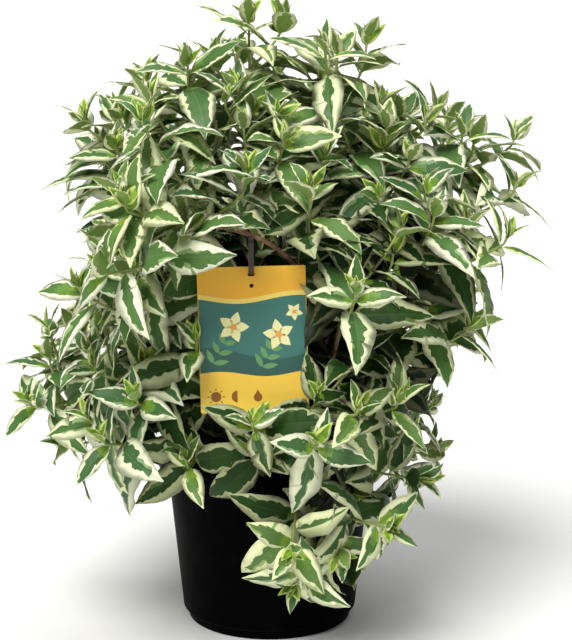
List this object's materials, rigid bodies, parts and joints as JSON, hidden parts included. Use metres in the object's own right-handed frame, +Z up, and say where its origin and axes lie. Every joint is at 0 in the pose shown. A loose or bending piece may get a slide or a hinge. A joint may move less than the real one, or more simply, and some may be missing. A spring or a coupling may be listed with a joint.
{
  "type": "potted southern bush honeysuckle",
  "caption": "Bushy variegated shrub of upright and arching canes with opposite pointed leaves, growing in a round black nursery pot, with a hanging label card on a looped tie.",
  "frame": {"origin": "centre of the pot's flat underside, on the surface the pot stands on", "axes": "+Z up along the pot's axis, -Y towards the side the picture shows, +X to the right in the picture"},
  "size_m": [0.5628, 0.5575, 0.6296],
  "materials": {
    "pot": "black injection-moulded plastic, satin",
    "mix": "dark crumbly potting mix of bark and fibre",
    "bark": "reddish-brown bark with pale ridges",
    "foliage": "leaves with a blue-green centre and a cream margin on yellow-green shoots",
    "card": "printed plastic card, satin",
    "tie": "dark brown flat plastic band"
  },
  "bodies": {
    "root": {"pot": "pot", "potting_mix": "mix", "crown_stem": "bark", "crest_left_bough": "bark", "crest_right_bough": "bark", "upper_left_bough": "bark", "left_shoulder_bough": "bark", "left_middle_bough": "bark", "left_low_bough": "bark", "left_front_bough": "bark", "front_top_bough": "bark", "front_upper_bough": "bark", "front_right_bough": "bark", "right_shoulder_bough": "bark", "right_outer_bough": "bark", "right_middle_bough": "bark", "right_low_bough": "bark", "right_spray_bough": "bark", "front_skirt_bough": "bark", "right_skirt_bough": "bark", "back_crest_bough": "bark", "back_left_high_bough": "bark", "back_right_high_bough": "bark", "back_left_bough": "bark", "back_right_bough": "bark", "back_middle_bough": "bark", "back_low_bough": "bark", "crest_left_foliage": "foliage", "crest_right_foliage": "foliage", "upper_left_foliage": "foliage", "left_shoulder_foliage": "foliage", "left_middle_foliage": "foliage", "left_low_foliage": "foliage", "left_front_foliage": "foliage", "front_top_foliage": "foliage", "front_upper_foliage": "foliage", "front_right_foliage": "foliage", "right_shoulder_foliage": "foliage", "right_outer_foliage": "foliage", "right_middle_foliage": "foliage", "right_low_foliage": "foliage", "right_spray_foliage": "foliage", "front_skirt_foliage": "foliage", "right_skirt_foliage": "foliage", "back_crest_foliage": "foliage", "back_left_high_foliage": "foliage", "back_right_high_foliage": "foliage", "back_left_foliage": "foliage", "back_right_foliage": "foliage", "back_middle_foliage": "foliage", "back_low_foliage": "foliage", "label_card": "card", "label_tie": "tie"}
  },
  "joints": []
}
